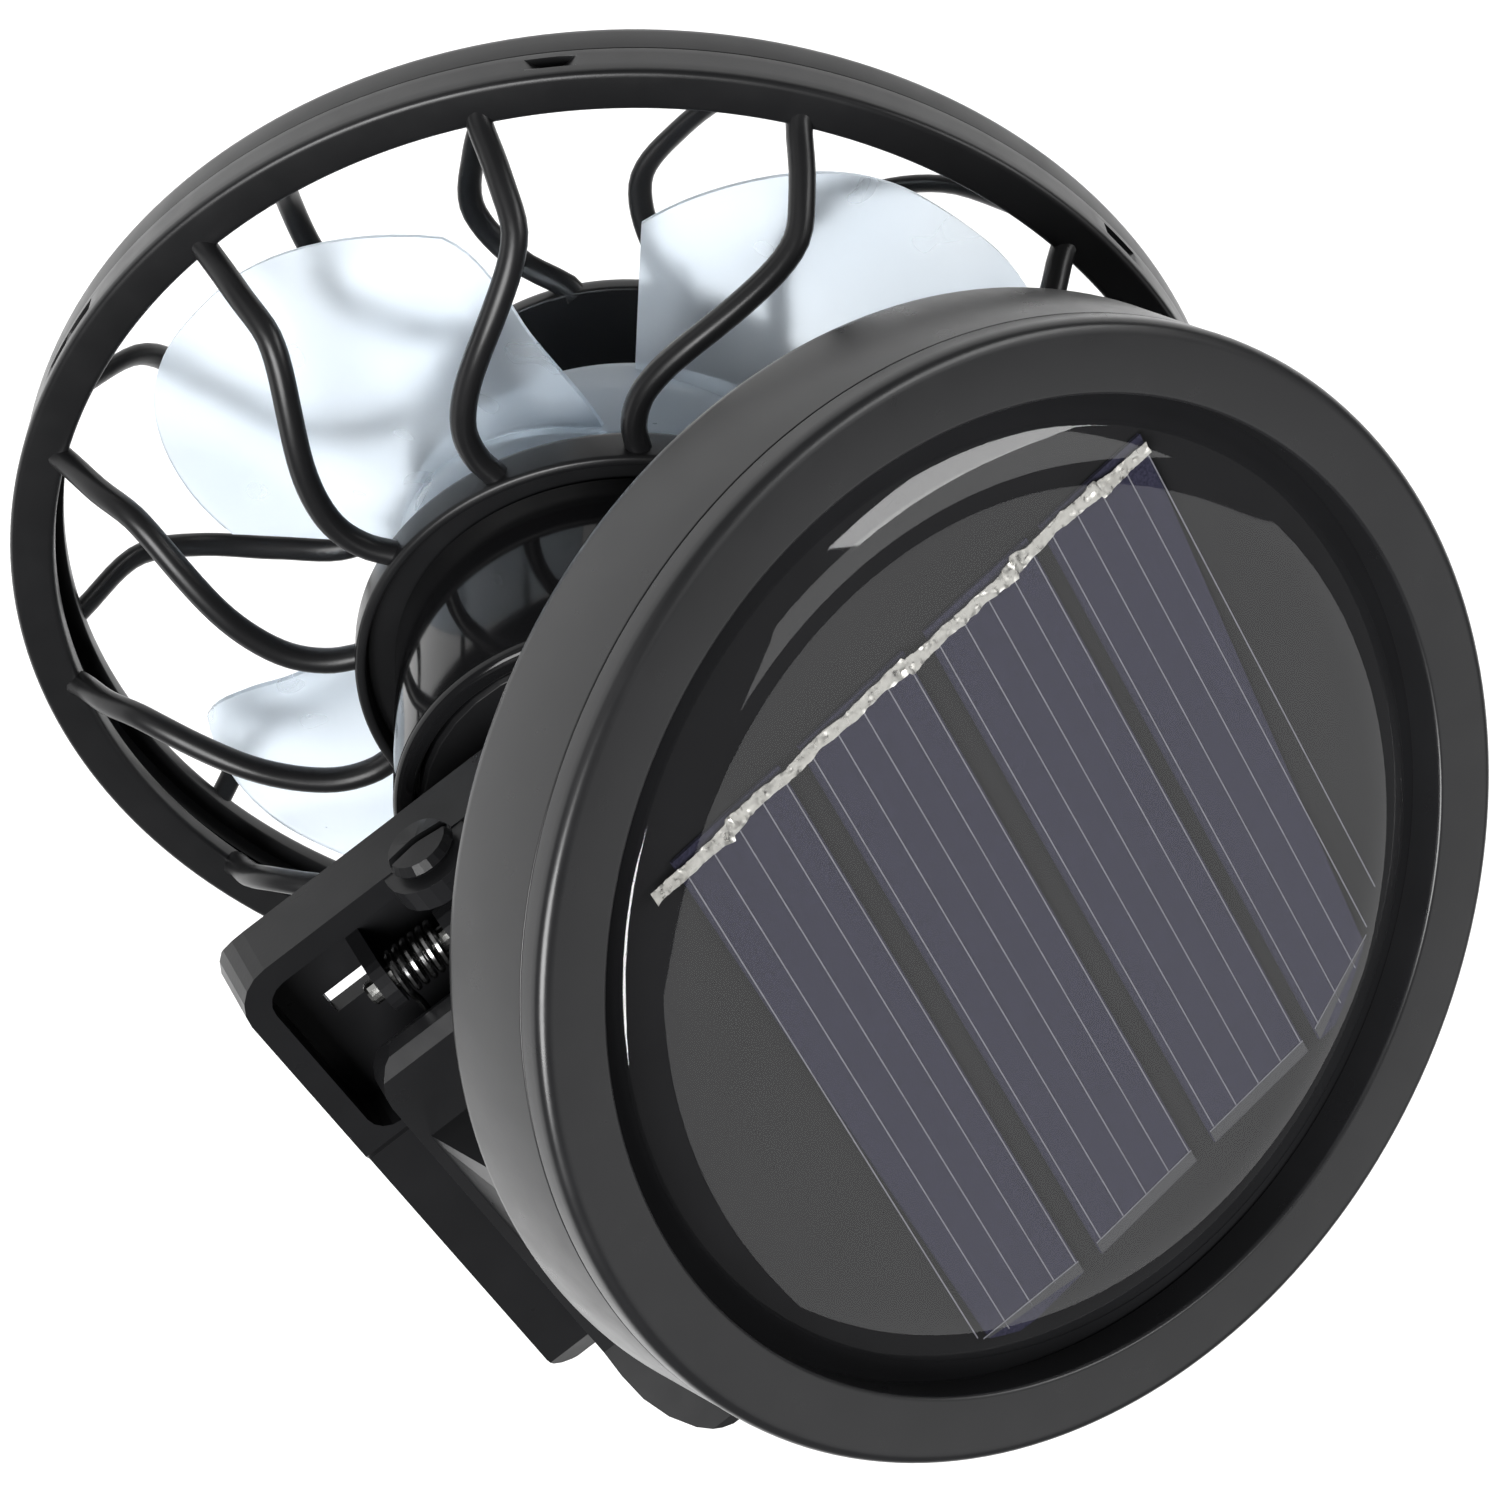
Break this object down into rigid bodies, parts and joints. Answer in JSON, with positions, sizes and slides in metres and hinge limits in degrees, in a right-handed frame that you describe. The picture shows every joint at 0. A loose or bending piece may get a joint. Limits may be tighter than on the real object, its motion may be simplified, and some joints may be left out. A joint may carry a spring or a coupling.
{
  "type": "clip-on solar cooling fan",
  "caption": "Spring clip with a round tilted solar head above the jaws and a caged fan on a tilting hinge below them; the panel drives a small motor and broad milky blades.",
  "frame": {"origin": "centre of the lower jaw's grip face, on the surface of its rubber pad", "axes": "+Z square to the grip face towards the solar head, +X from the clip's pivot to its tips, +Y along the pivot pin, towards the side the solar head leans to"},
  "size_m": [0.097, 0.0884, 0.0862],
  "materials": {
    "lower_jaw": "satin moulded black",
    "lower_grip_pad": "soft black",
    "pivot_pin": "plain",
    "torsion_spring_left": "bright drawn wire",
    "torsion_spring_right": "bright drawn wire",
    "clip_screw": "blackened, slotted",
    "fan_hinge_pin": "plain",
    "upper_jaw": "satin moulded black",
    "upper_grip_pad": "soft black",
    "solar_housing": "satin moulded black",
    "solar_bezel": "satin moulded black",
    "panel_board": "black lacquered",
    "cell_ribbon": "tinned, crinkled",
    "resin_dome": "clear cast resin",
    "housing_screw_1": "zinc plated",
    "housing_screw_2": "zinc plated",
    "rear_guard": "satin moulded black",
    "front_guard": "satin moulded black",
    "motor_barrel": "gloss black",
    "barrel_cap": "satin black",
    "motor_can": "plated",
    "motor_end_bell": "natural nylon",
    "motor_bush": "sintered",
    "magnet_left": "bonded ferrite",
    "magnet_right": "bonded ferrite",
    "brush_terminal_left": "copper alloy strip",
    "brush_terminal_right": "copper alloy strip",
    "motor_shaft": "ground",
    "armature_core": "laminated",
    "armature_winding_1": "enamelled copper",
    "armature_winding_2": "enamelled copper",
    "armature_winding_3": "enamelled copper",
    "commutator": "copper",
    "impeller": "milky translucent",
    "solar_cell_1": "dark silicon",
    "solar_cell_2": "dark silicon",
    "solar_cell_3": "dark silicon",
    "solar_cell_4": "dark silicon"
  },
  "bodies": {
    "lower_jaw": {"lower_jaw": "lower_jaw", "lower_grip_pad": "lower_grip_pad", "pivot_pin": "pivot_pin", "torsion_spring_left": "torsion_spring_left", "torsion_spring_right": "torsion_spring_right", "clip_screw": "clip_screw", "fan_hinge_pin": "fan_hinge_pin"},
    "upper_jaw": {"upper_jaw": "upper_jaw", "upper_grip_pad": "upper_grip_pad", "solar_housing": "solar_housing", "solar_bezel": "solar_bezel", "panel_board": "panel_board", "solar_cell_1": "solar_cell_1", "solar_cell_2": "solar_cell_2", "solar_cell_3": "solar_cell_3", "solar_cell_4": "solar_cell_4", "cell_ribbon": "cell_ribbon", "resin_dome": "resin_dome", "housing_screw_1": "housing_screw_1", "housing_screw_2": "housing_screw_2"},
    "fan_head": {"rear_guard": "rear_guard", "front_guard": "front_guard", "motor_barrel": "motor_barrel", "barrel_cap": "barrel_cap", "motor_can": "motor_can", "motor_end_bell": "motor_end_bell", "motor_bush": "motor_bush", "magnet_left": "magnet_left", "magnet_right": "magnet_right", "brush_terminal_left": "brush_terminal_left", "brush_terminal_right": "brush_terminal_right"},
    "rotor": {"impeller": "impeller", "motor_shaft": "motor_shaft", "armature_core": "armature_core", "armature_winding_1": "armature_winding_1", "armature_winding_2": "armature_winding_2", "armature_winding_3": "armature_winding_3", "commutator": "commutator"}
  },
  "joints": [
    {"name": "clip_open", "type": "hinge", "parent": "lower_jaw", "child": "upper_jaw", "pos_m": [-0.024, 0, 0.0005], "axis": [0, -1, 0], "range_deg": [0, 25], "stiffness_Nm_per_rad": 0.15, "springref_deg": -34.38, "deforming": ["torsion_spring_left", "torsion_spring_right"]},
    {"name": "fan_tilt", "type": "hinge", "parent": "lower_jaw", "child": "fan_head", "pos_m": [-0.017, 0.0002, -0.0088], "axis": [-1, 0, 0], "range_deg": [0, 75]},
    {"name": "fan_spin", "type": "hinge", "parent": "fan_head", "child": "rotor", "pos_m": [-0.01789, 0.02206, -0.02808], "axis": [0.0401, -0.3936, 0.9184], "continuous": true}
  ]
}
